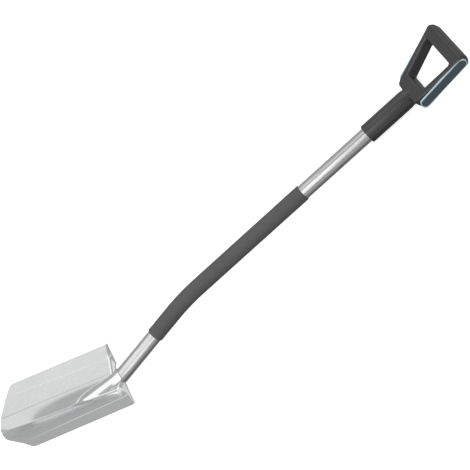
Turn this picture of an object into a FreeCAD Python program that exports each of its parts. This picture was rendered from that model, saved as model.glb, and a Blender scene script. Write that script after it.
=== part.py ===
# Pointed spade: pressed blade, bent tubular shaft with a grip sleeve over the bend, and a D grip.
# The spade lies on its back with the hollow of the blade up. +X runs from the blade to the grip,
# +Y to the left, +Z up. The origin is under the middle of its length, on the surface it lies on.
import FreeCAD
import Part
import Sketcher
import math
import os
from FreeCAD import Placement, Rotation, Vector

doc = FreeCAD.newDocument("pointed_spade")

# Driving sizes, in millimetres and degrees.
size_table = [
    # shaft
    ("tube_diameter", 30.0),
    ("tube_wall", 1.5),
    ("tube_top_inset", 14.0),
    ("upper_run", 588.0),
    ("lower_run", 223.0),
    ("frog_run", 132.0),
    ("sleeve_bend_angle", 11.2),
    ("sleeve_bend_radius", 400.0),
    ("heel_bend_angle", 18.3),
    ("heel_bend_radius", 110.0),
    # grip sleeve
    ("sleeve_start", 276.0),
    ("sleeve_past_bend", 97.0),
    ("sleeve_wall", 1.75),
    ("sleeve_edge_round", 0.8),
    ("slip_gap", 0.05),
    # D grip
    ("socket_length", 112.0),
    ("socket_diameter", 38.6),
    ("socket_edge_round", 1.2),
    ("neck_dome_start", 20.0),
    ("neck_dome_end", 14.0),
    ("neck_dome_end_radius", 8.0),
    ("grip_tilt", 16.6),
    ("grip_thickness", 26.0),
    ("grip_length", 125.0),
    ("crossbar_width", 29.0),
    ("opening_length", 71.0),
    ("opening_top_width", 91.0),
    ("opening_neck_width", 55.0),
    ("opening_corner_round", 4.0),
    ("grip_top_width", 126.0),
    ("shoulder_width", 86.0),
    ("shoulder_station", -1.0),
    ("grip_corner_round", 11.0),
    ("shoulder_round", 14.0),
    ("neck_width", 28.0),
    ("neck_station", 6.9),
    ("neck_round", 6.0),
    ("neck_tail", 5.0),
    ("crossbar_edge_round", 9.0),
    ("arm_edge_round", 1.6),
    ("neck_edge_round", 6.0),
    ("inner_edge_round", 5.0),
    # side pads and their coloured rims
    ("pad_height", 19.2),
    ("pad_rise", 1.0),
    ("pad_depth", 2.5),
    ("pad_top_inset", 6.5),
    ("pad_low_inset", 4.0),
    ("rim_width", 1.7),
    ("rim_rise", 0.5),
    # screw at the back of the socket
    ("screw_station", 84.0),
    ("screw_sink", 0.6),
    ("screw_head_diameter", 8.4),
    ("screw_head_height", 2.4),
    ("screw_diameter", 4.0),
    ("screw_length", 12.0),
    ("screw_slot_length", 4.4),
    ("screw_slot_width", 1.0),
    ("screw_slot_depth", 1.2),
    # blade
    ("blade_angle", 27.4),
    ("blade_width", 175.5),
    ("blade_length", 260.0),
    ("sheet_thickness", 2.0),
    ("shoulder_arc", 25.0),
    ("tip_arc", 58.0),
    ("flank_angle", 52.0),
    ("crease_heel_half", 55.2),
    ("crease_tip_half", 64.5),
    ("crease_heel_depth", 7.6),
    ("crease_tip_depth", 4.5),
    ("dish_depth", 36.0),
    ("dish_station", 100.0),
    ("tip_depth", 24.0),
    # frog, treads and welds
    ("bend_station", 8.9),
    ("bend_depth", 16.9),
    ("mouth_station", 3.0),
    ("frog_draft", 26.0),
    ("tread_lean", 35.0),
    ("tread_rise", 1.0),
    ("tread_clearance", 0.6),
    ("relief_station", 18.0),
    ("relief_radius", 9.0),
    ("relief_rise", 1.0),
    ("weld_start", 20.0),
    ("weld_length", 55.0),
    ("weld_width", 5.5),
    ("weld_thickness", 3.0),
    # reach of a cut past what it cuts
    ("overrun", 40.0),
]

sheet = doc.addObject("Spreadsheet::Sheet", "sizes")
for row, (alias, number) in enumerate(size_table, start=1):
    sheet.set(f"A{row}", alias)
    sheet.set(f"B{row}", str(number))
    sheet.setAlias(f"B{row}", alias)
doc.recompute()

same_size = 1e-4

# The pan's soft inner crease, between the outer crease and the middle line, at heel and tip.
panel_half_shares = (0.47, 0.50)
panel_depth_shares = (0.45, 0.62)
# How far the middle of the pan turns at the soft crease, from none to a plain parabola.
soft_crease_share = 0.35
# Stations of the pan's sections, along the blade's length.
section_shares = (-0.12, 0.2, 0.5, 0.8, 1.08)


def size(alias):
    return float(sheet.get(alias))


def between(share, first, last):
    return first + (last - first) * share


def heading(angle):
    # Direction in the plane Y = 0 that leaves -X by the angle, upwards.
    turned = math.radians(angle)
    return Vector(-math.cos(turned), 0, math.sin(turned))


def direction(start, end):
    return (end - start).normalize()


def rounded_line(corners, radii, closed=True):
    # Straight runs between the corners, with a tangent arc of the given radius at each.
    count = len(corners)
    joints = []
    for i, here in enumerate(corners):
        if radii[i] == 0:
            joints.append((here, None, here))
            continue
        back = direction(here, corners[i - 1])
        ahead = direction(here, corners[(i + 1) % count])
        half = back.getAngle(ahead) / 2
        reach = radii[i] / math.tan(half)
        inward = (back + ahead).normalize()
        crown = here + inward * (radii[i] / math.sin(half) - radii[i])
        first = here + back * reach
        last = here + ahead * reach
        joints.append((first, Part.Arc(first, crown, last), last))
    runs = []
    for i, (_, arc, leave) in enumerate(joints):
        if arc is not None:
            runs.append(arc)
        if closed or i < count - 1:
            runs.append(Part.LineSegment(leave, joints[(i + 1) % count][0]))
    return runs


def wire(curves):
    return Part.Wire([curve.toShape() for curve in curves])


def add_body(name):
    return doc.addObject("PartDesign::Body", name)


def add_sketch(body, name, role, offset=None):
    # A sketch on one of the body's origin planes.
    sketch = body.newObject("Sketcher::SketchObject", name)
    plane = next(item for item in body.Origin.OriginFeatures if item.Role == role)
    sketch.AttachmentSupport = [(plane, "")]
    sketch.MapMode = "FlatFace"
    if offset is not None:
        sketch.AttachmentOffset = offset
    return sketch


def add_circle(sketch, radius_expression, radius):
    circle = sketch.addGeometry(Part.Circle(Vector(), Vector(0, 0, 1), radius), False)
    sketch.addConstraint(Sketcher.Constraint("Coincident", circle, 3, -1, 1))
    constraint = sketch.addConstraint(Sketcher.Constraint("Radius", circle, radius))
    sketch.setExpression(f"Constraints[{constraint}]", radius_expression)


def add_solid(kind, name, place, **expressions):
    # A primitive such as Box, Cylinder or Cone, with its sizes tied to the sheet.
    solid = doc.addObject("Part::" + kind, name)
    solid.Placement = place
    for target, expression in expressions.items():
        solid.setExpression(target, expression)
    return solid


def add_shape(name, shape, place=None):
    feature = doc.addObject("Part::Feature", name)
    feature.Shape = shape
    if place is not None:
        feature.Placement = place
    return feature


def combine(kind, name, *parts):
    # kind is Cut, MultiFuse or MultiCommon.
    result = doc.addObject("Part::" + kind, name)
    if kind == "Cut":
        result.Base, result.Tool = parts
    else:
        result.Shapes = list(parts)
    result.Refine = True
    doc.recompute()
    return result


# Centre line of the shaft, in the plane Y = 0. While the spade is drawn, zero is where the
# D grip tilts forward, and the upper run of the shaft lies along -X from there.
bend_point = Vector(-size("upper_run"), 0, 0)
lower_heading = heading(-size("sleeve_bend_angle"))
heel_point = bend_point + lower_heading * size("lower_run")
frog_angle = size("heel_bend_angle") - size("sleeve_bend_angle")
frog_heading = heading(frog_angle)
frog_slope = size("blade_angle") + size("sleeve_bend_angle") - size("heel_bend_angle")

# Frame of the blade: U to the tip, V across, W out of the hollow, zero midway between the top
# corners. It hangs on the shaft's bend at the heel.
blade_u = heading(size("blade_angle"))
blade_w = Vector(blade_u.z, 0, -blade_u.x)
blade_zero = heel_point - blade_u * size("bend_station") + blade_w * size("bend_depth")
blade_place = Placement(blade_zero, Rotation(blade_u, blade_w.cross(blade_u), blade_w, "XYZ"))

# The D grip is drawn in its own plane: A from zero to the crossbar, B to the left, C forward.
grip_turn = Rotation(Vector(0, 1, 0), -size("grip_tilt"))


def swept_ring(name, corners, radii, outer_expression, inner_expression, outer, inner):
    # A round tube along a bent centre line that starts along -X.
    body = add_body(name)
    ring = add_sketch(body, name + "_section", "YZ_Plane", Placement(Vector(0, 0, corners[0].x), Rotation()))
    add_circle(ring, outer_expression, outer)
    add_circle(ring, inner_expression, inner)
    route = add_sketch(body, name + "_route", "XZ_Plane")
    flat_corners = [Vector(point.x, point.z, 0) for point in corners]
    route.addGeometry(rounded_line(flat_corners, radii, closed=False), False)
    doc.recompute()
    pipe = body.newObject("PartDesign::AdditivePipe", name + "_pipe")
    pipe.Profile = ring
    pipe.Spine = (route, [f"Edge{i + 1}" for i in range(len(route.Geometry))])
    doc.recompute()
    return body


def make_shaft(screw_space):
    # The bent tube, its lower end cut off level with the deepest line of the blade's back.
    outer = size("tube_diameter") / 2
    frog_end = heel_point + frog_heading * size("frog_run")
    whole = swept_ring("whole_tube",
                       [Vector(-size("tube_top_inset"), 0, 0), bend_point, heel_point, frog_end],
                       [0, size("sleeve_bend_radius"), size("heel_bend_radius"), 0],
                       "sizes.tube_diameter / 2", "sizes.tube_diameter / 2 - sizes.tube_wall",
                       outer, outer - size("tube_wall"))
    corner = Vector(0, -size("blade_width") / 2,
                    -size("dish_depth") - size("sheet_thickness") - size("blade_length"))
    behind = add_solid("Box", "behind_blade", blade_place.multiply(Placement(corner, Rotation())),
                       Length="sizes.blade_length + sizes.frog_run", Width="sizes.blade_width",
                       Height="sizes.blade_length")
    cut_off = combine("Cut", "cut_tube", whole, behind)
    return combine("Cut", "shaft_tube", cut_off, screw_space)


def make_sleeve():
    inner = size("tube_diameter") / 2 + size("slip_gap")
    outer = inner + size("sleeve_wall")
    start = Vector(-size("sleeve_start"), 0, 0)
    end = bend_point + lower_heading * size("sleeve_past_bend")
    body = swept_ring("sleeve", [start, bend_point, end], [0, size("sleeve_bend_radius"), 0],
                      "sizes.tube_diameter / 2 + sizes.slip_gap + sizes.sleeve_wall",
                      "sizes.tube_diameter / 2 + sizes.slip_gap", outer, inner)
    pipe = body.Tip

    def on_rim(edge):
        circle = edge.Curve
        return hasattr(circle, "Radius") and abs(circle.Radius - outer) < same_size and \
            any((circle.Center - middle).Length < same_size for middle in (start, end))

    rims = [f"Edge{i + 1}" for i, edge in enumerate(pipe.Shape.Edges) if on_rim(edge)]
    soft_ends = body.newObject("PartDesign::Fillet", "sleeve_ends")
    soft_ends.Base = (pipe, rims)
    soft_ends.setExpression("Radius", "sizes.sleeve_edge_round")
    doc.recompute()
    body.Label = "grip_sleeve"
    return body


def pan_section(u, drop):
    # Points across the pan at station u: wing, outer crease, soft crease, middle line and back.
    share = u / size("blade_length")
    crease_v = between(share, size("crease_heel_half"), size("crease_tip_half"))
    crease_w = -between(share, size("crease_heel_depth"), size("crease_tip_depth"))
    past_dish = size("blade_length") - size("dish_station")
    rise = (size("dish_depth") - size("tip_depth")) * ((u - size("dish_station")) / past_dish) ** 2
    middle_w = rise - size("dish_depth")
    panel_v = crease_v * between(share, *panel_half_shares)
    panel_w = between(between(share, *panel_depth_shares), crease_w, middle_w)
    edge_v = size("blade_width") / 2
    wide_v = edge_v + size("overrun")
    wide_w = crease_w * (edge_v - wide_v) / (edge_v - crease_v)
    half = [(wide_v, wide_w), (crease_v, crease_w), (panel_v, panel_w)]
    across = half + [(0, middle_w)] + [(-v, w) for v, w in reversed(half)]
    return [Vector(u, v, w - drop) for v, w in across]


def space_above_pan(name, drop):
    # Everything in front of the pan's face, or of that face set back by the drop.
    ceiling = size("dish_depth") + size("overrun")
    wires = []
    for share in section_shares:
        u = share * size("blade_length")
        points = pan_section(u, drop)
        first, last = points[0], points[-1]
        crease, panel, middle = points[1:4]
        flat_slope = (panel.z - crease.z) / (panel.y - crease.y)
        full_slope = 2 * (middle.z - panel.z) / (middle.y - panel.y)
        slope = between(soft_crease_share, flat_slope, full_slope)
        dish = Part.BSplineCurve()
        dish.interpolate(points[2:-2], InitialTangent=Vector(0, -1, -slope), FinalTangent=Vector(0, -1, slope))
        above_first = Vector(u, first.y, ceiling)
        above_last = Vector(u, last.y, ceiling)
        wires.append(wire([
            Part.LineSegment(first, points[1]),
            Part.LineSegment(points[1], points[2]),
            dish,
            Part.LineSegment(points[-3], points[-2]),
            Part.LineSegment(points[-2], last),
            Part.LineSegment(last, above_last),
            Part.LineSegment(above_last, above_first),
            Part.LineSegment(above_first, first),
        ]))
    return add_shape(name, Part.makeLoft(wires, True, False), blade_place)


def make_plan():
    # The blade's outline seen square to its edges, as a tall block.
    half = size("blade_width") / 2
    angle = math.radians(size("flank_angle"))
    apex = size("blade_length") + size("tip_arc") * (1 / math.sin(angle) - 1)
    shoulder = apex - half / math.tan(angle)
    heel = -size("overrun")
    corners = [Vector(heel, -half, 0), Vector(shoulder, -half, 0), Vector(apex, 0, 0),
               Vector(shoulder, half, 0), Vector(heel, half, 0)]
    radii = [0, size("shoulder_arc"), size("tip_arc"), size("shoulder_arc"), 0]
    face = Part.Face(wire(rounded_line(corners, radii)))
    depth = size("dish_depth") + size("overrun")
    face.translate(Vector(0, 0, -depth))
    return add_shape("blade_plan", face.extrude(Vector(0, 0, 2 * depth)), blade_place)


def leaning_block(name, station, lean, length, top):
    # A block across the blade whose grip side passes the station, level with the blade's edges,
    # and leans by the angle, its foot towards the tip.
    lean_turn = Rotation(Vector(0, 1, 0), -lean)
    foot = Vector(station, 0, 0) + lean_turn.multVec(Vector(0, 0, -size("blade_length")))
    across = Vector(0, -size("blade_width") / 2 - size("overrun"), 0)
    place = blade_place.multiply(Placement(foot + across, lean_turn))
    return add_solid("Box", name, place, Length=length,
                     Width="sizes.blade_width + 2 * sizes.overrun",
                     Height=f"sizes.blade_length + {top}")


def tread_notches():
    # The gap between the treads, where the shaft comes through, and a round notch in their free
    # edge on either side of it.
    lean_turn = Rotation(Vector(0, 1, 0), -size("tread_lean"))
    along = lean_turn.multVec(Vector(1, 0, 0))
    middle = lean_turn.multVec(Vector(0, 0, size("relief_rise"))) - along * size("overrun")
    corner = Vector(-size("overrun"), -size("tube_diameter") / 2 - size("tread_clearance"),
                    -size("dish_depth") - size("overrun"))
    notches = [add_solid("Box", "shaft_gap", blade_place.multiply(Placement(corner, Rotation())),
                         Length="2 * sizes.overrun", Width="sizes.tube_diameter + 2 * sizes.tread_clearance",
                         Height="sizes.dish_depth + 2 * sizes.overrun")]
    for side in (-1, 1):
        start = middle + Vector(0, side * size("relief_station"), 0)
        place = blade_place.multiply(Placement(start, Rotation(Vector(0, 0, 1), along)))
        notches.append(add_solid("Cylinder", "tread_relief", place, Radius="sizes.relief_radius",
                                 Height="sizes.sheet_thickness + 2 * sizes.overrun"))
    return combine("MultiFuse", "tread_notches", *notches)


def channel(name, radius):
    # A round back with drafted sides, swept along the bent end of the shaft.
    draft = math.radians(size("frog_draft"))
    side = Vector(0, math.cos(draft), math.sin(draft)) * radius
    foot = side + Vector(0, math.sin(draft), -math.cos(draft)) * (size("dish_depth") + size("overrun"))
    far_side = Vector(0, -side.y, side.z)
    far_foot = Vector(0, -foot.y, foot.z)
    section = wire([
        Part.LineSegment(far_foot, far_side),
        Part.Arc(far_side, Vector(0, 0, radius), side),
        Part.LineSegment(side, foot),
        Part.LineSegment(foot, far_foot),
    ])
    start = heel_point - lower_heading * (size("heel_bend_radius") / 2)
    end = heel_point + frog_heading * (size("frog_run") + size("overrun"))
    across = Vector(0, 1, 0)
    up = Vector(lower_heading.z, 0, -lower_heading.x)
    section.Placement = Placement(start, Rotation(across.cross(up), across, up, "XYZ"))
    spine = wire(rounded_line([start, heel_point, end], [0, size("heel_bend_radius"), 0], closed=False))
    swept = spine.makePipeShell([section], True, False)
    # The drafted sides are freeform where the shaft bends, so that cuts across them stay exact.
    sides = [face.toNurbs().Faces[0] if isinstance(face.Surface, Part.Cone) else face for face in swept.Faces]
    shell = Part.Shell(sides)
    shell.sewShape()
    return add_shape(name, Part.Solid(shell))


def make_blade(above_back):
    # The pan between its two faces, the treads turned up at its top edge, and the frog: a hood
    # pressed up over the end of the shaft and open at the back.
    above_front = space_above_pan("above_front", 0)
    plan = make_plan()
    beyond_tread = leaning_block("beyond_tread", 0, size("tread_lean"),
                                 "2 * sizes.blade_length", "sizes.blade_length")
    tread_slab = leaning_block("tread_slab", 0, size("tread_lean"),
                               "sizes.sheet_thickness", "sizes.tread_rise")
    beyond_face = leaning_block("beyond_face", size("sheet_thickness") / 2, size("tread_lean"),
                                "2 * sizes.blade_length", "sizes.blade_length")
    beyond_mouth = leaning_block("beyond_mouth", size("mouth_station"), -frog_slope,
                                 "2 * sizes.blade_length", "sizes.blade_length")
    inner = size("tube_diameter") / 2 + size("slip_gap")
    frog_outside = channel("frog_outside", inner + size("sheet_thickness"))
    frog_inside = channel("frog_inside", inner)
    pressed = combine("Cut", "pressed_sheet", above_back, above_front)
    pan = combine("MultiCommon", "pan", pressed, plan, beyond_tread)
    whole_treads = combine("MultiCommon", "whole_treads", above_back, plan, tread_slab)
    treads = combine("Cut", "treads", whole_treads, tread_notches())
    frog = combine("MultiCommon", "frog", frog_outside, above_back, beyond_mouth, beyond_face)
    joined = combine("MultiFuse", "joined_blade", pan, treads, frog)
    return combine("Cut", "blade", joined, frog_inside)


def make_welds(above_back):
    # A bead on either side of the shaft, in its corner with the back of the blade.
    above_weld = space_above_pan("above_weld", size("sheet_thickness") + size("weld_thickness"))
    layer = combine("Cut", "weld_layer", above_weld, above_back)
    start = heel_point + frog_heading * size("weld_start")
    place = Placement(start, Rotation(Vector(0, 0, 1), frog_heading))
    around = add_solid("Cylinder", "around_shaft", place,
                       Radius="sizes.tube_diameter / 2 + sizes.weld_width", Height="sizes.weld_length")
    within = add_solid("Cylinder", "within_shaft", place,
                       Radius="sizes.tube_diameter / 2", Height="sizes.weld_length")
    corner = Vector(0, size("weld_width") / 2 - size("tube_diameter") / 2, 0)
    under = add_solid("Box", "under_shaft",
                      Placement(start + corner, Rotation(Vector(0, 1, 0), 180 + frog_angle)),
                      Length="sizes.weld_length + sizes.overrun",
                      Width="sizes.tube_diameter - sizes.weld_width", Height="sizes.tube_diameter")
    beads = combine("MultiCommon", "weld_beads", layer, around)
    shaft_space = combine("MultiFuse", "shaft_space", within, under)
    return combine("Cut", "seam_weld", beads, shaft_space)


def arm_side():
    # Corners of the left arm's outer side, and the directions of its two straight runs.
    top = Vector(size("grip_length"), size("grip_top_width") / 2, 0)
    shoulder = Vector(size("shoulder_station"), size("shoulder_width") / 2, 0)
    neck = Vector(-size("neck_station"), size("neck_width") / 2, 0)
    return top, shoulder, neck, direction(top, shoulder), direction(shoulder, neck)


def outward(run):
    return Vector(run.y, -run.x, 0)


def pad_ends():
    # Centres of the pad's round ends, on the line of the arm's outer side.
    top, shoulder, _, down, _ = arm_side()
    half = size("pad_height") / 2
    return top + down * (size("pad_top_inset") + half), shoulder - down * (size("pad_low_inset") + half)


def grip_outline():
    # The left half runs from the crossbar to the tail inside the socket, the right half back.
    top, shoulder, neck, _, _ = arm_side()
    tail = neck - Vector(size("neck_tail"), 0, 0)
    left = [(top, size("grip_corner_round")), (shoulder, size("shoulder_round")),
            ((shoulder + neck) * 0.5, 0), (neck, size("neck_round")), (tail, 0)]
    right = [(Vector(point.x, -point.y, 0), radius) for point, radius in reversed(left)]
    return rounded_line([point for point, _ in left + right], [radius for _, radius in left + right])


def grip_opening():
    top = size("grip_length") - size("crossbar_width")
    low = top - size("opening_length")
    wide = size("opening_top_width") / 2
    narrow = size("opening_neck_width") / 2
    corners = [Vector(top, wide, 0), Vector(low, narrow, 0), Vector(low, -narrow, 0), Vector(top, -wide, 0)]
    return rounded_line(corners, [size("opening_corner_round")] * len(corners))


def make_grip_plate():
    # The D as a flat plate. The edges of its opening and of its crossbar are rounded for the
    # hand, those along the pads are kept tight, and the neck's fit into the round socket.
    body = add_body("grip_plate")
    outline = add_sketch(body, "grip_outline", "XY_Plane", Placement(Vector(), grip_turn))
    outline.addGeometry(grip_outline(), False)
    outline.addGeometry(grip_opening(), False)
    doc.recompute()
    plate = body.newObject("PartDesign::Pad", "flat_grip")
    plate.Profile = outline
    plate.Midplane = True
    plate.setExpression("Length", "sizes.grip_thickness")
    doc.recompute()

    tail = -size("neck_station") - size("neck_tail")
    under_middle = (size("shoulder_station") - size("neck_station")) / 2
    along = grip_turn.multVec(Vector(1, 0, 0))
    forward = grip_turn.multVec(Vector(0, 0, 1))

    def outer_round(vertex):
        station = vertex.Point.dot(along)
        if station > size("grip_length") - same_size:
            return size("crossbar_edge_round")
        if station < under_middle - same_size:
            return size("neck_edge_round")
        return size("arm_edge_round")

    rounds = []
    shape = body.Shape
    for face in shape.Faces:
        if abs(face.normalAt(0, 0).dot(forward)) < 1 - same_size:
            continue
        for loop in face.Wires:
            for edge in loop.Edges:
                number = next(i for i, other in enumerate(shape.Edges, start=1) if other.isSame(edge))
                ends = shape.Edges[number - 1].Vertexes
                if not loop.isSame(face.OuterWire):
                    rounds.append((number, size("inner_edge_round"), size("inner_edge_round")))
                elif max(end.Point.dot(along) for end in ends) > tail + same_size:
                    rounds.append((number, outer_round(ends[0]), outer_round(ends[1])))
    rounded = doc.addObject("Part::Fillet", "rounded_grip")
    rounded.Base = body
    rounded.Edges = rounds
    doc.recompute()
    return rounded


def make_socket():
    # A sleeve for the shaft, domed where it runs into the plate.
    body = add_body("socket")
    profile = add_sketch(body, "socket_profile", "XZ_Plane")
    radius = size("socket_diameter") / 2
    mouth = -size("socket_length")
    edge_round = size("socket_edge_round")
    dome_start = Vector(-size("neck_dome_start"), radius, 0)
    dome_end = Vector(size("neck_dome_end"), size("neck_dome_end_radius"), 0)
    run = dome_end - dome_start
    dome_radius = run.Length ** 2 / (-2 * run.y)
    dome_centre = dome_start - Vector(0, dome_radius, 0)
    to_crown = (dome_start + dome_end) * 0.5 - dome_centre
    dome = Part.Arc(dome_start, dome_centre + to_crown.normalize() * dome_radius, dome_end)
    end_middle = Vector(dome_end.x, 0, 0)
    corners = [end_middle, Vector(mouth, 0, 0), Vector(mouth, radius - edge_round, 0),
               Vector(mouth + edge_round, radius, 0), dome_start]
    lines = [Part.LineSegment(a, b) for a, b in zip(corners, corners[1:])]
    profile.addGeometry(lines + [dome, Part.LineSegment(dome_end, end_middle)], False)
    doc.recompute()
    turned = body.newObject("PartDesign::Revolution", "turned_socket")
    turned.Profile = profile
    turned.ReferenceAxis = (profile, ["H_Axis"])
    doc.recompute()
    return body


def side_band(name, inside, outside, grow=None):
    # A band round the left arm's outer side, from inside it to outside it, with round ends.
    # It has the pad's height, or is wider by the size named in grow all round.
    margin = size(grow) if grow else 0
    height = size("pad_height") + 2 * margin
    height_expression = "sizes.pad_height" + (f" + 2 * sizes.{grow}" if grow else "")
    run = arm_side()[3]
    first, last = pad_ends()
    across = [outward(run) * size(outside), outward(run) * -size(inside)]
    corners = [first + across[0], last + across[0], last + across[1], first + across[1]]
    body = add_body(name + "_strip")
    sketch = add_sketch(body, name + "_plan", "XY_Plane", Placement(Vector(), grip_turn))
    sketch.addGeometry(rounded_line(corners, [0] * len(corners)), False)
    doc.recompute()
    strip = body.newObject("PartDesign::Pad", name + "_pad")
    strip.Profile = sketch
    strip.Midplane = True
    strip.setExpression("Length", height_expression)
    parts = [body]
    for middle in (first, last):
        base = middle - outward(run) * size(inside)
        place = Placement(grip_turn.multVec(base),
                          Rotation(Vector(0, 0, 1), grip_turn.multVec(outward(run))))
        parts.append(add_solid("Cylinder", name + "_end", place, Radius=f"({height_expression}) / 2",
                               Height=f"sizes.{inside} + sizes.{outside}"))
    return combine("MultiFuse", name, *parts)


def mirrored(name, source):
    right = doc.addObject("Part::Mirroring", name)
    right.Source = source
    right.Normal = Vector(0, 1, 0)
    doc.recompute()
    return right


def make_pads():
    # Left and right: the pad, the coloured rim round it, and the recess that holds both.
    pad = side_band("left_pad", "pad_depth", "pad_rise")
    pad_space = side_band("pad_space", "pad_depth", "overrun")
    rim_block = side_band("rim_block", "pad_depth", "rim_rise", "rim_width")
    recess = side_band("left_recess", "pad_depth", "overrun", "rim_width")
    rim = combine("Cut", "left_rim", rim_block, pad_space)
    pads = [pad, mirrored("right_pad", pad)]
    rims = [rim, mirrored("right_rim", rim)]
    recesses = [recess, mirrored("right_recess", recess)]
    return pads, rims, recesses


def make_screw():
    # A countersunk screw at the back of the socket, and the space that it takes.
    face = size("screw_sink") - size("socket_diameter") / 2
    seat = Vector(-size("screw_station"), 0, face)
    head = add_solid("Cone", "screw_head", Placement(seat, Rotation()),
                     Radius1="sizes.screw_head_diameter / 2", Radius2="sizes.screw_diameter / 2",
                     Height="sizes.screw_head_height")
    stem = add_solid("Cylinder", "screw_stem", Placement(seat, Rotation()),
                     Radius="sizes.screw_diameter / 2", Height="sizes.screw_length")
    well = add_solid("Cylinder", "screw_well", Placement(seat, Rotation(Vector(1, 0, 0), 180)),
                     Radius="sizes.screw_head_diameter / 2", Height="sizes.screw_sink + sizes.overrun")
    slots = []
    corner = Vector(-size("screw_slot_length") / 2, -size("screw_slot_width") / 2, 0)
    for turn in (Rotation(), Rotation(Vector(0, 0, 1), 90)):
        slots.append(add_solid("Box", "screw_slot", Placement(seat + turn.multVec(corner), turn),
                               Length="sizes.screw_slot_length", Width="sizes.screw_slot_width",
                               Height="sizes.screw_slot_depth"))
    blank = combine("MultiFuse", "screw_blank", head, stem)
    cross = combine("MultiFuse", "screw_cross", *slots)
    screw = combine("Cut", "handle_screw", blank, cross)
    return screw, combine("MultiFuse", "screw_space", blank, well)


def make_handle(recesses, screw_space):
    plate = make_grip_plate()
    socket = make_socket()
    whole = combine("MultiFuse", "whole_handle", plate, socket)
    place = Placement(Vector(-size("tube_top_inset"), 0, 0), Rotation(Vector(0, 0, 1), Vector(-1, 0, 0)))
    bore = add_solid("Cylinder", "shaft_bore", place,
                     Radius="sizes.tube_diameter / 2 + sizes.slip_gap", Height="sizes.socket_length")
    spaces = combine("MultiFuse", "handle_spaces", bore, screw_space, *recesses)
    return combine("Cut", "handle_body", whole, spaces)


def check_document():
    for item in doc.Objects:
        if "Invalid" in item.State or "Error" in item.State:
            raise RuntimeError(f"{item.Name} failed: {item.State}")


def check_piece(piece):
    shape = piece.Shape
    if shape.isNull() or not shape.isValid():
        raise RuntimeError(f"{piece.Label} has no valid shape")


def turned_box(piece, turn):
    shape = piece.Shape.copy()
    shape.rotate(Vector(), Vector(0, 1, 0), turn)
    return shape.optimalBoundingBox(False)


def lowest(pieces, turn):
    return min(turned_box(piece, turn).ZMin for piece in pieces)


def resting_turn(blade_end, grip_end):
    # The turn about Y at which the lowest points of both ends are level.
    turn = 0.0
    gap = size("upper_run")
    while abs(gap) > same_size:
        gap = lowest(grip_end, turn) - lowest(blade_end, turn)
        turn += math.degrees(gap / (size("upper_run") + size("lower_run")))
    return turn


def lay_down(pieces, turn):
    # Turns every piece alike and moves it so that the origin is under the middle of the whole.
    boxes = [turned_box(piece, turn) for piece in pieces]
    middle = (min(box.XMin for box in boxes) + max(box.XMax for box in boxes)) / 2
    rest = Placement(Vector(-middle, 0, -lowest(pieces, turn)), Rotation(Vector(0, 1, 0), turn))
    for piece in pieces:
        piece.Placement = rest.multiply(piece.Placement)


screw, screw_space = make_screw()
above_back = space_above_pan("above_back", size("sheet_thickness"))
blade = make_blade(above_back)
shaft = make_shaft(screw_space)
weld = make_welds(above_back)
sleeve = make_sleeve()
pads, rims, recesses = make_pads()
handle = make_handle(recesses, screw_space)
check_document()
pieces = [blade, shaft, weld, sleeve, handle, screw] + pads + rims
lay_down(pieces, resting_turn([blade, shaft, weld], [handle]))
for piece in pieces:
    check_piece(piece)
os.makedirs("parts", exist_ok=True)
for piece in pieces:
    piece.Shape.exportStep(f"parts/{piece.Label}.step")
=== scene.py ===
import math
import bmesh
import bpy
from mathutils import Matrix, Vector


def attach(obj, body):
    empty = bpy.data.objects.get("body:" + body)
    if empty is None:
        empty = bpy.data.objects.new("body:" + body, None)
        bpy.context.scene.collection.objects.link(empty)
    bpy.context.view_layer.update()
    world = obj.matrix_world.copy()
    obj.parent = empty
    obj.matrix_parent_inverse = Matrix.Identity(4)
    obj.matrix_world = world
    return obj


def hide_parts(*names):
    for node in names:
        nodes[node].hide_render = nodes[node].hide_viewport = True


# Pointed spade, lying on its back. The steel sheet, the tube and the sleeve are modelled here.
# The grip, its pads and rims, the welds and the screw are dressed copies of the frame's parts:
# the grip is drawn in at its front shoulders, and the far pad and rim sit a little deeper.
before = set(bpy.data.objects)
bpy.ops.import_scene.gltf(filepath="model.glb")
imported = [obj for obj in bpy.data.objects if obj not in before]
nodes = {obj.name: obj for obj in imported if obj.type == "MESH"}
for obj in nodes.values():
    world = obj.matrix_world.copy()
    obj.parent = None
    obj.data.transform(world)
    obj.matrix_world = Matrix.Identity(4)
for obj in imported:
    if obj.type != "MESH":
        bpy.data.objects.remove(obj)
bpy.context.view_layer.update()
print("frame loaded:", len(nodes), "nodes")

mm = 0.001


def heading(degrees):
    # direction in the plane Y = 0, away from +X and upwards by the angle
    turned = math.radians(degrees)
    return Vector((-math.cos(turned), 0, math.sin(turned)))


def between(share, first, last):
    return first + (last - first) * share


# the shaft, in metres and degrees: its centre line starts where the grip tilts
shaft = {
    "tilt": 2.7329, "pivot": Vector((0.4535292, 0, 0.018389)), "topInset": 0.014,
    "upperRun": 0.588, "lowerRun": 0.223, "frogRun": 0.150,
    "lowerAngle": -11.2, "frogAngle": 7.1,
    "sleeveBendRadius": 0.400, "heelBendRadius": 0.110,
    "radius": 0.015, "wall": 0.0015, "endRound": 0.0003, "roundAngle": 50.0,
    "sides": 72, "bendSteps": 14, "ringSpacing": 0.03, "mergeWithin": 0.000001, "probe": 0.1,
}
upperWay = heading(shaft["tilt"])
lowerWay = heading(shaft["tilt"] + shaft["lowerAngle"])
frogWay = heading(shaft["tilt"] + shaft["frogAngle"])
bendPoint = shaft["pivot"] + upperWay * shaft["upperRun"]
heelPoint = bendPoint + lowerWay * shaft["lowerRun"]
frogEnd = heelPoint + frogWay * shaft["frogRun"]

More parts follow.
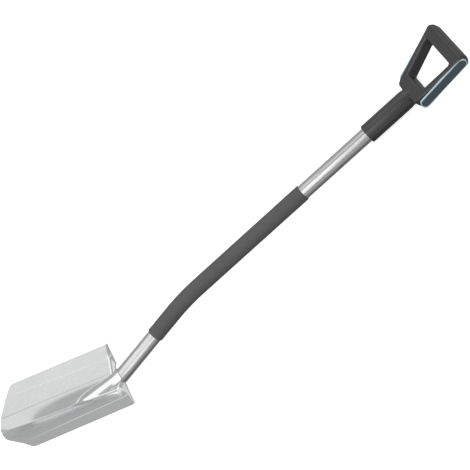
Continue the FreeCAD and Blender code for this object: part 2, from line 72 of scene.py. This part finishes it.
# the blade, in millimetres of its own frame: U to the tip, V across, W out of the hollow
blade = {
    "angle": 27.4, "bendStation": 8.9, "bendDepth": 16.9,
    "width": 175.5, "length": 260.0, "thickness": 2.0,
    "shoulderArc": 12.0, "tipArc": 58.0, "flankAngle": 54.0, "inset": 0.3,
    "grooveDepth": 0.22, "grooveHalf": 0.9,
    "creaseHalf": (55.2, 64.5), "creaseDepth": (7.6, 4.5), "creaseSoftness": 1.4,
    "softSteps": (-1.0, -0.67, -0.33, 0.0, 0.33, 0.67, 1.0),
    "panelHalf": (0.46, 0.43), "panelDepth": (0.43, 0.78), "panelEase": 4,
    "dishDepth": 36.0, "dishStation": 100.0, "tipDepth": 24.0,
    "treadLean": 35.0, "treadRise": 1.0, "treadReach": 60.0, "leastTread": 0.4,
    "foldRound": 7.0, "foldShare": 0.8, "gapHalf": 15.6, "gapSlack": 0.01,
    "notchStation": 18.0, "notchRadius": 9.0,
    "frogRadius": 17.05, "frogDraft": 26.0, "frogBlend": 5.0,
    "mouthStation": 3.0, "mouthLean": 0.37, "lipStation": 1.0, "lipLean": 0.70,
    "mouthSteps": 30, "rootSteps": 40, "treadRows": 7, "foldRows": 6, "panRows": 150,
    "columnSteps": ((14.0, 1.4), (15.6, 0.8), (33.0, 0.6), (52.0, 2.5), (68.0, 0.8),
                    (82.0, 2.5), (87.45, 0.6)),
    "mergeWithin": 0.02, "probe": (200, 0, -30), "edgeRound": 0.45, "roundAngle": 55.0,
}
bladeU = heading(shaft["tilt"] + blade["angle"])
bladeV = Vector((0, 1, 0))
bladeW = Vector((bladeU.z, 0, -bladeU.x))
bladeZero = (heelPoint - bladeU * (blade["bendStation"] * mm)
             + bladeW * (blade["bendDepth"] * mm))


def bladePoint(u, v, w):
    # millimetres in the blade's frame to metres in the scene
    return bladeZero + (bladeU * u + bladeV * v + bladeW * w) * mm


# effects that several materials share
effects = {"fineDetail": 3.0, "patchDetail": 2.0, "streakScale": 1.0, "streakDetail": 4.0,
           "smudgeScale": 11.0, "smudgeDetail": 3.0}


def feed(tree, value, socket):
    # a number sets the socket, and the output of a node is linked to it
    if isinstance(value, (int, float)):
        socket.default_value = value
    else:
        tree.links.new(value, socket)


def newGroup(name, inputs, outputs):
    group = bpy.data.node_groups.new(name, "ShaderNodeTree")
    for label in inputs:
        group.interface.new_socket(name=label, in_out="INPUT", socket_type="NodeSocketFloat")
    for label in outputs:
        group.interface.new_socket(name=label, in_out="OUTPUT", socket_type="NodeSocketFloat")
    entry = group.nodes.new("NodeGroupInput")
    leave = group.nodes.new("NodeGroupOutput")
    return group, entry.outputs, leave.inputs


def objectPlace(tree):
    return tree.nodes.new("ShaderNodeTexCoord").outputs["Object"]


def addNoise(tree, place, scale, detail):
    noise = tree.nodes.new("ShaderNodeTexNoise")
    noise.inputs["Detail"].default_value = detail
    feed(tree, place, noise.inputs["Vector"])
    feed(tree, scale, noise.inputs["Scale"])
    return noise.outputs["Fac"]


def makeGrainGroup():
    # fine even speckle with broad soft patches, for moulded plastic, rubber and cast surfaces
    group, entry, leave = newGroup("fineGrain", ["Scale", "Patch Scale"], ["Speckle", "Patches"])
    place = objectPlace(group)
    fine = addNoise(group, place, entry["Scale"], effects["fineDetail"])
    broad = addNoise(group, place, entry["Patch Scale"], effects["patchDetail"])
    feed(group, fine, leave["Speckle"])
    feed(group, broad, leave["Patches"])
    return group


def makeBrushGroup():
    # long fine streaks along one direction, for rolled sheet and drawn tube
    group, entry, leave = newGroup("rolledStreaks", ["Along", "Across", "Turn"],
                                   ["Streaks", "Smudges"])
    place = objectPlace(group)
    turn = group.nodes.new("ShaderNodeVectorRotate")
    turn.rotation_type = "Y_AXIS"
    feed(group, place, turn.inputs["Vector"])
    feed(group, entry["Turn"], turn.inputs["Angle"])
    scale = group.nodes.new("ShaderNodeCombineXYZ")
    for axis, label in (("X", "Along"), ("Y", "Across"), ("Z", "Across")):
        feed(group, entry[label], scale.inputs[axis])
    stretch = group.nodes.new("ShaderNodeVectorMath")
    stretch.operation = "MULTIPLY"
    feed(group, turn.outputs["Vector"], stretch.inputs[0])
    feed(group, scale.outputs["Vector"], stretch.inputs[1])
    streaks = addNoise(group, stretch.outputs["Vector"], effects["streakScale"],
                       effects["streakDetail"])
    smudges = addNoise(group, place, effects["smudgeScale"], effects["smudgeDetail"])
    feed(group, streaks, leave["Streaks"])
    feed(group, smudges, leave["Smudges"])
    return group


grainGroup = makeGrainGroup()
brushGroup = makeBrushGroup()
print("shared effects made")


def mathNode(tree, operation, *values):
    node = tree.nodes.new("ShaderNodeMath")
    node.operation = operation
    for value, socket in zip(values, node.inputs):
        feed(tree, value, socket)
    return node.outputs[0]


def mapRange(tree, source, fromRange, toRange, kind="LINEAR"):
    node = tree.nodes.new("ShaderNodeMapRange")
    node.interpolation_type = kind
    labels = ("From Min", "From Max", "To Min", "To Max")
    for label, value in zip(labels, (*fromRange, *toRange)):
        node.inputs[label].default_value = value
    feed(tree, source, node.inputs["Value"])
    return node.outputs["Result"]


def toneRamp(tree, source, look):
    ramp = tree.nodes.new("ShaderNodeValToRGB")
    for i, tone in enumerate(("dark", "light")):
        element = ramp.color_ramp.elements[i]
        element.position = look["stops"][i]
        element.color = (*look[tone], 1)
    feed(tree, source, ramp.inputs["Fac"])
    return ramp.outputs["Color"]


def newMaterial(name):
    material = bpy.data.materials.new(name)
    material.use_nodes = True
    return material


def mainShader(tree):
    return tree.nodes["Principled BSDF"].inputs


def addBump(tree, height, strength, distance):
    node = tree.nodes.new("ShaderNodeBump")
    node.inputs["Strength"].default_value = strength
    node.inputs["Distance"].default_value = distance
    feed(tree, height, node.inputs["Height"])
    feed(tree, node.outputs["Normal"], mainShader(tree)["Normal"])


def addGroup(tree, group, values):
    node = tree.nodes.new("ShaderNodeGroup")
    node.node_tree = group
    for label, value in values.items():
        node.inputs[label].default_value = value
    return node.outputs


def grey(value, tint=(1.0, 1.0, 1.0)):
    return tuple(value * part for part in tint)


# the middle part of a noise, which is what the roughness follows
noiseRange = (0.3, 0.7)


def makeSurface(name, group, look):
    # the outputs of one effect lead the tone, the roughness and the fine bumps
    material = newMaterial(name)
    tree = material.node_tree
    effect = addGroup(tree, group, look["effect"])
    mixed = 0.0
    for label, share in look["toneFrom"].items():
        part = mathNode(tree, "MULTIPLY", effect[label], share)
        mixed = mathNode(tree, "ADD", mixed, part)
    shader = mainShader(tree)
    feed(tree, toneRamp(tree, mixed, look), shader["Base Color"])
    rough = mapRange(tree, effect[look["roughFrom"]], noiseRange, look["rough"])
    feed(tree, rough, shader["Roughness"])
    if "bump" in look:
        addBump(tree, effect[look["bumpFrom"]], *look["bump"])
    for label, value in look.get("fixed", {}).items():
        shader[label].default_value = value
    return material


def creaseHighlightMask(tree):
    # where a highlight is painted along the pressed crease lines, fading towards the point
    look = {"halfWidth": 0.0023, "fullUntil": 0.12, "goneBy": 0.235}
    place = objectPlace(tree)
    along = tree.nodes.new("ShaderNodeVectorMath")
    along.operation = "DOT_PRODUCT"
    along.inputs[1].default_value = bladeU
    feed(tree, place, along.inputs[0])
    station = mathNode(tree, "SUBTRACT", along.outputs["Value"], bladeZero.dot(bladeU))
    parts = tree.nodes.new("ShaderNodeSeparateXYZ")
    feed(tree, place, parts.inputs["Vector"])
    first, last = blade["creaseHalf"]
    spread = mathNode(tree, "MULTIPLY", station, (last - first) / blade["length"])
    line = mathNode(tree, "ADD", spread, first * mm)
    aside = mathNode(tree, "ABSOLUTE", parts.outputs["Y"])
    away = mathNode(tree, "ABSOLUTE", mathNode(tree, "SUBTRACT", aside, line))
    mask = mapRange(tree, away, (0.0, look["halfWidth"]), (1.0, 0.0), "SMOOTHSTEP")
    fade = mapRange(tree, station, (look["fullUntil"], look["goneBy"]), (1.0, 0.0))
    return mathNode(tree, "MULTIPLY", mask, fade)


def makeSheetSteel():
    look = {
        "effect": {"Along": 5.0, "Across": 260.0, "Turn": math.radians(30.13)},
        "toneFrom": {"Streaks": 0.45, "Smudges": 0.55}, "stops": (0.30, 0.70),
        "dark": grey(0.74, (0.985, 0.995, 1.0)), "light": grey(0.84, (0.99, 0.995, 1.0)),
        "roughFrom": "Smudges", "rough": (0.15, 0.21),
        "bumpFrom": "Streaks", "bump": (0.05, 0.0002),
        "paintedCreaseHighlight": grey(0.97), "metallic": (0.95, 0.0),
    }
    material = makeSurface("pressedSheetSteel", brushGroup, look)
    tree = material.node_tree
    shader = mainShader(tree)
    # painted highlight: along the crease lines the sheet turns near-white and non-metallic,
    # standing in for a glint of light
    paintedCreaseHighlight = creaseHighlightMask(tree)
    mix = tree.nodes.new("ShaderNodeMix")
    mix.data_type = "RGBA"
    feed(tree, paintedCreaseHighlight, mix.inputs["Factor"])
    feed(tree, shader["Base Color"].links[0].from_socket, mix.inputs["A"])
    mix.inputs["B"].default_value = (*look["paintedCreaseHighlight"], 1)
    feed(tree, mix.outputs["Result"], shader["Base Color"])
    feed(tree, mapRange(tree, paintedCreaseHighlight, (0.0, 1.0), look["metallic"]), shader["Metallic"])
    return material


def makeTubeSteel():
    look = {
        "effect": {"Along": 3.0, "Across": 700.0, "Turn": math.radians(2.73)},
        "toneFrom": {"Streaks": 1.0}, "stops": (0.3, 0.7),
        "dark": grey(0.58), "light": grey(0.72),
        "roughFrom": "Smudges", "rough": (0.18, 0.26),
        "bumpFrom": "Streaks", "bump": (0.04, 0.0001), "fixed": {"Metallic": 0.9},
    }
    return makeSurface("drawnTubeSteel", brushGroup, look)


def makeWeldSteel():
    look = {
        "effect": {"Scale": 500.0, "Patch Scale": 180.0},
        "toneFrom": {"Patches": 1.0}, "stops": (0.35, 0.65),
        "dark": (0.16, 0.14, 0.12), "light": (0.42, 0.40, 0.38),
        "roughFrom": "Speckle", "rough": (0.35, 0.6), "fixed": {"Metallic": 0.8},
        "ripples": {"Scale": 110.0, "Distortion": 1.5}, "rippleBump": (0.8, 0.0006),
    }
    material = makeSurface("weldBead", grainGroup, look)
    tree = material.node_tree
    ripples = tree.nodes.new("ShaderNodeTexWave")
    ripples.bands_direction = "X"
    for label, value in look["ripples"].items():
        ripples.inputs[label].default_value = value
    feed(tree, objectPlace(tree), ripples.inputs["Vector"])
    addBump(tree, ripples.outputs["Fac"], *look["rippleBump"])
    return material


def makeFoam():
    look = {
        "effect": {"Scale": 1500.0, "Patch Scale": 30.0},
        "toneFrom": {"Speckle": 1.0}, "stops": (0.36, 0.64),
        "dark": grey(0.085), "light": grey(0.17),
        "roughFrom": "Patches", "rough": (0.62, 0.78),
        "bumpFrom": "Speckle", "bump": (0.5, 0.0004), "fixed": {"Specular IOR Level": 0.35},
    }
    return makeSurface("sleeveFoam", grainGroup, look)


def makeGripPlastic():
    look = {
        "effect": {"Scale": 1300.0, "Patch Scale": 22.0},
        "toneFrom": {"Speckle": 0.5, "Patches": 0.5}, "stops": (0.35, 0.65),
        "dark": (0.022, 0.022, 0.024), "light": (0.038, 0.038, 0.041),
        "roughFrom": "Patches", "rough": (0.20, 0.27),
        "bumpFrom": "Speckle", "bump": (0.25, 0.0002), "fixed": {"Specular IOR Level": 1.0},
    }
    return makeSurface("mouldedGrip", grainGroup, look)


def makePadRubber():
    look = {
        "effect": {"Scale": 1100.0, "Patch Scale": 26.0},
        "toneFrom": {"Speckle": 1.0}, "stops": (0.35, 0.65),
        "dark": (0.055, 0.085, 0.105), "light": (0.105, 0.150, 0.175),
        "roughFrom": "Patches", "rough": (0.5, 0.66),
        "bumpFrom": "Speckle", "bump": (0.35, 0.0003),
    }
    return makeSurface("padRubber", grainGroup, look)


def makeRimPlastic():
    look = {
        "effect": {"Scale": 700.0, "Patch Scale": 30.0},
        "toneFrom": {"Patches": 1.0}, "stops": (0.35, 0.65),
        "dark": (0.60, 0.86, 0.92), "light": (0.80, 0.96, 1.0),
        "roughFrom": "Speckle", "rough": (0.24, 0.34),
    }
    return makeSurface("rimPlastic", grainGroup, look)


def makeZinc():
    look = {
        "effect": {"Scale": 900.0, "Patch Scale": 260.0},
        "toneFrom": {"Patches": 1.0}, "stops": (0.35, 0.65),
        "dark": (0.40, 0.40, 0.38), "light": (0.62, 0.61, 0.58),
        "roughFrom": "Speckle", "rough": (0.28, 0.42), "fixed": {"Metallic": 0.95},
    }
    return makeSurface("zincScrew", grainGroup, look)


sheetSteel = makeSheetSteel()
tubeSteel = makeTubeSteel()
weldSteel = makeWeldSteel()
sleeveFoam = makeFoam()
gripPlastic = makeGripPlastic()
padRubber = makePadRubber()
rimPlastic = makeRimPlastic()
zinc = makeZinc()
print("materials made")


def meshObject(name, bm, material):
    mesh = bpy.data.meshes.new(name)
    bm.to_mesh(mesh)
    bm.free()
    mesh.materials.append(material)
    made = bpy.data.objects.new(name, mesh)
    bpy.context.scene.collection.objects.link(made)
    return made


def addPiece(name, bm, material, slot, *replaced):
    piece = meshObject(name, bm, material)
    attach(piece, "root")
    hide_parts(*replaced)
    return piece


def smoothFaces(bm, sharpAngle=180.0):
    for face in bm.faces:
        face.smooth = True
    limit = math.radians(sharpAngle)
    for edge in bm.edges:
        edge.smooth = not (edge.is_manifold and edge.calc_face_angle(0.0) > limit)


def addModifier(piece, kind, **settings):
    modifier = piece.modifiers.new(kind.title().replace("_", ""), kind)
    for key, value in settings.items():
        setattr(modifier, key, value)


def roundEdges(piece, width, segments, angle):
    addModifier(piece, "BEVEL", width=width, segments=segments, limit_method="ANGLE",
                angle_limit=math.radians(angle))


# the blade: one pressed sheet with its treads and frog
bendRows = blade["treadRows"] + blade["foldRows"]


def panHeight(u, v):
    # height of the pan's face at a place, before its creases are softened
    share = u / blade["length"]
    half = blade["width"] / 2
    creaseV = between(share, *blade["creaseHalf"])
    creaseW = -between(share, *blade["creaseDepth"])
    past = (u - blade["dishStation"]) / (blade["length"] - blade["dishStation"])
    middleW = (blade["dishDepth"] - blade["tipDepth"]) * past * past - blade["dishDepth"]
    panelV = creaseV * between(share, *blade["panelHalf"])
    depth = between(share ** blade["panelEase"], *blade["panelDepth"])
    panelW = between(depth, creaseW, middleW)
    aside = abs(v)
    if aside > creaseV:
        return between((aside - creaseV) / (half - creaseV), creaseW, 0.0)
    if aside > panelV:
        return between((aside - panelV) / (creaseV - panelV), panelW, creaseW)
    firstSlope = (creaseW - panelW) / (creaseV - panelV)
    lastSlope = 2 * (panelW - middleW) / panelV - firstSlope
    return middleW + lastSlope * aside + (firstSlope - lastSlope) * aside * aside / panelV / 2


def softPanHeight(u, v):
    # the mean over a short stretch across the pan rounds its creases, and a shallow groove
    # marks the inner pair
    half = blade["width"] / 2
    reach = blade["creaseSoftness"]
    heights = [panHeight(u, max(-half, min(half, v + step * reach)))
               for step in blade["softSteps"]]
    mean = sum(heights) / len(heights)
    share = u / blade["length"]
    grooveV = between(share, *blade["creaseHalf"]) * between(share, *blade["panelHalf"])
    line = (abs(v) - grooveV) / blade["grooveHalf"]
    return mean - blade["grooveDepth"] * math.exp(-line * line)


# the shaft's heel bend in the blade's own frame
frogBend = {"start": (-4.95, -5.85), "end": (25.5, -23.04),
            "startSlope": -0.798, "endSlope": -0.370}


def frogAxis(u):
    # height and slope of the shaft's centre line at station u
    (u0, w0), (u1, w1) = frogBend["start"], frogBend["end"]
    startSlope, endSlope = frogBend["startSlope"], frogBend["endSlope"]
    if u >= u1:
        return w1 + (u - u1) * endSlope, endSlope
    if u <= u0:
        return w0 + (u - u0) * startSlope, startSlope
    run = u1 - u0
    t = (u - u0) / run
    height = (w0 * (2 * t ** 3 - 3 * t ** 2 + 1) + w1 * (3 * t ** 2 - 2 * t ** 3)
              + startSlope * run * (t ** 3 - 2 * t ** 2 + t)
              + endSlope * run * (t ** 3 - t ** 2))
    return height, between(t, startSlope, endSlope)


def frogHeight(u, v):
    # round back and drafted flanks of the hood over the shaft
    axis, slope = frogAxis(u)
    lift = math.sqrt(1 + slope * slope)
    radius = blade["frogRadius"]
    draft = math.radians(blade["frogDraft"])
    side = radius * math.cos(draft)
    aside = abs(v)
    if aside < side:
        return axis + math.sqrt(radius * radius - aside * aside) * lift
    return axis + (radius * math.sin(draft) - (aside - side) / math.tan(draft)) * lift


def sheetHeight(u, v):
    # the higher of pan and hood, with a soft join
    pan = softPanHeight(u, v)
    frog = frogHeight(u, v)
    soft = blade["frogBlend"]
    overlap = max(soft - abs(pan - frog), 0.0) / soft
    return max(pan, frog) + overlap * overlap * soft / 4


def tipStation(v):
    # where the outline of the point lies for a line along the blade
    aside = abs(v)
    half = blade["width"] / 2 - blade["inset"]
    turn = math.radians(90 - blade["flankAngle"])
    tipArc, shoulderArc = blade["tipArc"], blade["shoulderArc"]
    last = blade["length"] - blade["inset"]
    apex = last + tipArc * (1 / math.cos(turn) - 1)
    if aside < tipArc * math.sin(turn):
        return last - tipArc + math.sqrt(tipArc ** 2 - aside ** 2)
    centreV = half - shoulderArc
    centreU = (math.cos(turn) * apex - shoulderArc - math.sin(turn) * centreV) / math.cos(turn)
    if aside > centreV + shoulderArc * math.sin(turn):
        return centreU + math.sqrt(max(shoulderArc ** 2 - (aside - centreV) ** 2, 0.0))
    return apex - aside * math.tan(turn)


def treadLine(t):
    # the hollow side of the tread, t down from its free edge's level
    lean = math.radians(blade["treadLean"])
    u = blade["thickness"] * math.cos(lean) + t * math.sin(lean)
    w = blade["thickness"] * math.sin(lean) - t * math.cos(lean)
    return u, w


def treadTop(v):
    # level of the tread's free edge, with a round notch beside the shaft
    beside = abs(v) - blade["notchStation"]
    if abs(beside) < blade["notchRadius"]:
        return -blade["treadRise"] + math.sqrt(blade["notchRadius"] ** 2 - beside ** 2)
    return -blade["treadRise"]


def treadRoot(v):
    # how far down its own line the tread meets the sheet, by halving
    low, high = 0.0, blade["treadReach"]
    for _ in range(blade["rootSteps"]):
        t = (low + high) / 2
        u, w = treadLine(t)
        if w > sheetHeight(u, v):
            low = t
        else:
            high = t
    return low


def insideGap(v):
    # the strip between the treads, where the shaft goes through
    return abs(v) < blade["gapHalf"] - blade["gapSlack"]


def hoodMouth(v):
    # station where the leaning mouth of the hood cuts the sheet, step by step
    u = blade["mouthStation"]
    for _ in range(blade["mouthSteps"]):
        w = sheetHeight(u, v)
        u = max(blade["mouthStation"] + w * blade["mouthLean"],
                blade["lipStation"] - w * blade["lipLean"])
    return u


def columnPoints(v):
    # one line of the sheet from the free edge of the tread, or the hood's mouth, to the point
    if insideGap(v):
        start = hoodMouth(v)
        rows = [(start, sheetHeight(start, v))] * bendRows
    else:
        top = treadTop(v)
        root = max(treadRoot(v), top + blade["leastTread"])
        soft = min(blade["foldRound"], (root - top) * blade["foldShare"])
        corner = Vector(treadLine(root))
        above = Vector(treadLine(root - soft))
        ahead = Vector((corner.x + soft, sheetHeight(corner.x + soft, v)))
        rows = [treadLine(between(i / blade["treadRows"], top, root - soft))
                for i in range(blade["treadRows"])]
        for i in range(blade["foldRows"]):
            s = i / blade["foldRows"]
            spot = above * (1 - s) ** 2 + corner * 2 * s * (1 - s) + ahead * s * s
            rows.append((spot.x, spot.y))
        start = ahead.x
    last = tipStation(v)
    for i in range(blade["panRows"] + 1):
        u = between(i / blade["panRows"], start, last)
        rows.append((u, sheetHeight(u, v)))
    return rows


def bladeColumns():
    # stations across the blade, close together over the frog and the creases
    stations = [0.0]
    for end, step in blade["columnSteps"]:
        first = stations[-1]
        span = end - first
        count = max(1, round(span / step))
        stations += [first + span * (i + 1) / count for i in range(count)]
    return [-v for v in reversed(stations[1:])] + stations


def makeBlade():
    columns = bladeColumns()
    lines = [columnPoints(v) for v in columns]
    lastRow, lastColumn = len(lines[0]) - 1, len(columns) - 1
    bm = bmesh.new()
    bmesh.ops.create_grid(bm, x_segments=lastRow, y_segments=lastColumn, size=1.0)
    # the treads leave the gap free, so their rows have no faces there
    spare = set()
    for vert in bm.verts:
        row = round((vert.co.x + 1) / 2 * lastRow)
        column = round((vert.co.y + 1) / 2 * lastColumn)
        u, w = lines[column][row]
        vert.co = bladePoint(u, columns[column], w)
        if row < bendRows and insideGap(columns[column]):
            spare.update(vert.link_faces)
    bmesh.ops.delete(bm, geom=[face for face in bm.faces if face in spare], context="FACES")
    bmesh.ops.remove_doubles(bm, verts=bm.verts, dist=blade["mergeWithin"] * mm)
    bmesh.ops.recalc_face_normals(bm, faces=bm.faces)
    probe = bladePoint(*blade["probe"])
    middle = min(bm.faces, key=lambda face: (face.calc_center_median() - probe).length)
    if middle.normal.dot(bladeW) < 0:
        bmesh.ops.reverse_faces(bm, faces=bm.faces)
    smoothFaces(bm)
    piece = addPiece("pressedBlade", bm, sheetSteel, "blade_steel", "blade")
    addModifier(piece, "SOLIDIFY", thickness=blade["thickness"] * mm, offset=-1.0,
                use_even_offset=False)
    roundEdges(piece, blade["edgeRound"] * mm, 2, blade["roundAngle"])
    return piece


bladePiece = makeBlade()
print("blade made:", len(bladePiece.data.polygons), "faces before its modifiers")


def sweptTube(start, corners, radii, radius):
    # a round wall along straight runs with tangent bends, open at both ends
    bm = bmesh.new()
    way = (corners[0] - start).normalized()
    turn = Vector((0, 0, 1)).rotation_difference(way).to_matrix().to_4x4()
    ring = bmesh.ops.create_circle(bm, cap_ends=False, segments=shaft["sides"], radius=radius,
                                   matrix=Matrix.Translation(start) @ turn)
    edges = list({edge for vert in ring["verts"] for edge in vert.link_edges})
    here = start
    for i, corner in enumerate(corners):
        final = i == len(corners) - 1
        reach = 0.0
        if not final:
            onward = (corners[i + 1] - corner).normalized()
            angle = way.angle(onward)
            reach = radii[i] * math.tan(angle / 2)
        stop = corner - way * reach
        span = (stop - here).length
        pieces = max(1, round(span / shaft["ringSpacing"]))
        for _ in range(pieces):
            grown = bmesh.ops.extrude_edge_only(bm, edges=edges)["geom"]
            edges = [item for item in grown if isinstance(item, bmesh.types.BMEdge)]
            verts = [item for item in grown if isinstance(item, bmesh.types.BMVert)]
            bmesh.ops.translate(bm, verts=verts, vec=way * (span / pieces))
        if final:
            break
        side = way.cross(onward).normalized()
        centre = stop + side.cross(way) * radii[i]
        spun = bmesh.ops.spin(bm, geom=edges, cent=centre, axis=side, angle=angle,
                              steps=shaft["bendSteps"], use_duplicate=False)
        edges = [item for item in spun["geom_last"] if isinstance(item, bmesh.types.BMEdge)]
        here = corner + onward * reach
        way = onward
    bmesh.ops.remove_doubles(bm, verts=bm.verts, dist=shaft["mergeWithin"])
    bmesh.ops.recalc_face_normals(bm, faces=bm.faces)
    return bm


def pointOutwards(bm, inside):
    # a swept wall is open, so its faces are set by a point of the centre line beside them
    face = min(bm.faces, key=lambda item: (item.calc_center_median() - inside).length)
    if face.normal.dot(face.calc_center_median() - inside) < 0:
        bmesh.ops.reverse_faces(bm, faces=bm.faces)


def makeShaft():
    start = shaft["pivot"] + upperWay * shaft["topInset"]
    bm = sweptTube(start, [bendPoint, heelPoint, frogEnd],
                   [shaft["sleeveBendRadius"], shaft["heelBendRadius"]], shaft["radius"])
    back = bladePoint(0, 0, -blade["dishDepth"] - blade["thickness"])
    everything = list(bm.verts) + list(bm.edges) + list(bm.faces)
    bmesh.ops.bisect_plane(bm, geom=everything, plane_co=back, plane_no=bladeW,
                           clear_inner=True)
    pointOutwards(bm, start + upperWay * shaft["probe"])
    smoothFaces(bm)
    piece = addPiece("bentTube", bm, tubeSteel, "shaft_steel", "shaft_tube")
    addModifier(piece, "SOLIDIFY", thickness=shaft["wall"], offset=-1.0)
    roundEdges(piece, shaft["endRound"], 2, shaft["roundAngle"])


sleeve = {"start": 0.276, "pastBend": 0.097, "wall": 0.00175, "gap": 0.00005,
          "endRound": 0.0007, "roundAngle": 50.0, "probe": 0.05}


def makeSleeve():
    start = shaft["pivot"] + upperWay * sleeve["start"]
    end = bendPoint + lowerWay * sleeve["pastBend"]
    outer = shaft["radius"] + sleeve["gap"] + sleeve["wall"]
    bm = sweptTube(start, [bendPoint, end], [shaft["sleeveBendRadius"]], outer)
    pointOutwards(bm, start + upperWay * sleeve["probe"])
    smoothFaces(bm)
    piece = addPiece("foamSleeve", bm, sleeveFoam, "sleeve_plastic", "grip_sleeve")
    addModifier(piece, "SOLIDIFY", thickness=sleeve["wall"], offset=-1.0)
    roundEdges(piece, sleeve["endRound"], 3, sleeve["roundAngle"])


makeShaft()
makeSleeve()
print("tube and sleeve made")

# the D grip: its own directions, the reach of the drawn-in shoulders, and the far pad's inset
grip = {
    "along": Vector((0.97086, 0, 0.23967)), "out": Vector((-0.23967, 0, 0.97086)),
    "from": 0.040, "to": 0.004, "inner": 0.026, "outer": 0.044, "back": -0.016, "front": 0.012,
    "drawIn": 0.0070, "farInset": 0.0013,
}


def ease(value, first, last):
    t = max(0.0, min(1.0, (value - first) / (last - first)))
    return t * t * (3 - 2 * t)


def drawShoulders(bm):
    # the front corners beside the neck are fuller in the solid than on the moulded part
    for vert in bm.verts:
        local = vert.co - shaft["pivot"]
        share = (ease(local.dot(grip["along"]), grip["from"], grip["to"])
                 * ease(local.dot(grip["out"]), grip["back"], grip["front"])
                 * ease(abs(local.y), grip["inner"], grip["outer"]))
        vert.co.y -= math.copysign(grip["drawIn"] * share, local.y)


# copies of the solids: vertices closer than this are merged, and flat faces lead the shading
copying = {"mergeWithin": 0.00001, "faceWeight": 80}


def dressedCopy(name, node, material, slot, sharpAngle):
    bm = bmesh.new()
    bm.from_mesh(nodes[node].data)
    bmesh.ops.remove_doubles(bm, verts=bm.verts, dist=copying["mergeWithin"])
    bmesh.ops.dissolve_degenerate(bm, edges=bm.edges, dist=copying["mergeWithin"])
    if node == "handle_body":
        drawShoulders(bm)
    if node.startswith("left_"):
        bmesh.ops.translate(bm, verts=bm.verts, vec=(0, -grip["farInset"], 0))
    smoothFaces(bm, sharpAngle)
    piece = addPiece(name, bm, material, slot, node)
    addModifier(piece, "WEIGHTED_NORMAL", keep_sharp=True, weight=copying["faceWeight"])


# name, node, material, slot, and the angle from which an edge is sharp
dressed = [
    ("mouldedHandle", "handle_body", gripPlastic, "grip_plastic", 28.0),
    ("leftPad", "left_pad", padRubber, "pad_rubber", 30.0),
    ("rightPad", "right_pad", padRubber, "pad_rubber", 30.0),
    ("leftRim", "left_rim", rimPlastic, "rim_plastic", 30.0),
    ("rightRim", "right_rim", rimPlastic, "rim_plastic", 30.0),
    ("shaftWelds", "seam_weld", weldSteel, "weld_steel", 35.0),
    ("crossScrew", "handle_screw", zinc, "screw_steel", 30.0),
]
for entry in dressed:
    dressedCopy(*entry)
print("dressed parts made:", len(dressed))

# floor, sky, lights and camera
stageLook = {
    "floorHalf": 6.0, "floorLevel": -0.0005, "floorTone": 0.9, "floorRough": 0.9,
    "floorGlow": 0.75, "sky": 0.48, "below": 0.17, "horizon": (-0.72, -0.28),
}
cameraLook = {
    "place": Vector((0.65603, -2.01043, 1.99317)), "sensor": 36.0,
    "focalPixels": 1494.0, "photoPixels": 470.0, "clip": (0.05, 50.0),
    "right": Vector((0.699698, -0.367200, -0.612831)),
    "up": Vector((0.679876, 0.605600, 0.413579)),
    "back": Vector((0.219232, -0.706000, 0.673420)),
}
# name, place, what it points at, width and height, power
lights = [
    ("frontSoftbox", (0.00, -1.54, 1.56), (0.35, 0, 0.04), (0.3, 1.9), 3.4),
    ("leftPanel", (-1.35, -1.90, 1.12), (-0.33, 0, 0.02), (0.8, 2.2), 5.4),
    ("overheadPanel", (-1.25, -0.10, 2.40), (-1.25, 0, 0), (2.4, 3.0), 18),
    ("sideSoftbox", (0.90, 0.63, 1.92), (-0.45, 0, 0.05), (1.93, 1.8), 4.4),
]


def makeFloor():
    material = newMaterial("paleFloor")
    shader = mainShader(material.node_tree)
    shader["Base Color"].default_value = (*grey(stageLook["floorTone"]), 1)
    shader["Roughness"].default_value = stageLook["floorRough"]
    shader["Emission Color"].default_value = (1, 1, 1, 1)
    shader["Emission Strength"].default_value = stageLook["floorGlow"]
    bm = bmesh.new()
    bmesh.ops.create_grid(bm, x_segments=1, y_segments=1, size=stageLook["floorHalf"])
    floor = meshObject("floor", bm, material)
    floor.location = (0, 0, stageLook["floorLevel"])
    floor.visible_diffuse = False
    floor.visible_glossy = False


def addLight(name, place, target, size, power):
    data = bpy.data.lights.new(name, "AREA")
    data.shape = "RECTANGLE"
    data.size, data.size_y = size
    data.energy = power
    light = bpy.data.objects.new(name, data)
    bpy.context.scene.collection.objects.link(light)
    light.location = place
    light.rotation_mode = "QUATERNION"
    light.rotation_quaternion = (Vector(target) - Vector(place)).to_track_quat("-Z", "Y")
    light.visible_camera = False


def makeCamera():
    data = bpy.data.cameras.new("photoCamera")
    data.sensor_width = cameraLook["sensor"]
    data.lens = cameraLook["sensor"] * cameraLook["focalPixels"] / cameraLook["photoPixels"]
    data.clip_start, data.clip_end = cameraLook["clip"]
    camera = bpy.data.objects.new("photoCamera", data)
    bpy.context.scene.collection.objects.link(camera)
    axes = Matrix((cameraLook["right"], cameraLook["up"], cameraLook["back"]))
    camera.location = cameraLook["place"]
    camera.rotation_mode = "QUATERNION"
    camera.rotation_quaternion = axes.transposed().to_quaternion()
    bpy.context.scene.camera = camera


def makeWorld():
    # an even studio sky that falls off to a dim surround below the horizon
    world = bpy.data.worlds.new("softStudio")
    world.use_nodes = True
    tree = world.node_tree
    way = tree.nodes.new("ShaderNodeTexCoord")
    parts = tree.nodes.new("ShaderNodeSeparateXYZ")
    feed(tree, way.outputs["Generated"], parts.inputs["Vector"])
    glow = mapRange(tree, parts.outputs["Z"], stageLook["horizon"],
                    (stageLook["below"], stageLook["sky"]), "SMOOTHSTEP")
    sky = tree.nodes["Background"].inputs
    feed(tree, glow, sky["Strength"])
    sky["Color"].default_value = (1, 1, 1, 1)
    bpy.context.scene.world = world


makeWorld()
makeFloor()
for entry in lights:
    addLight(*entry)
makeCamera()
bpy.context.scene.view_settings.view_transform = "Standard"
print("stage made")
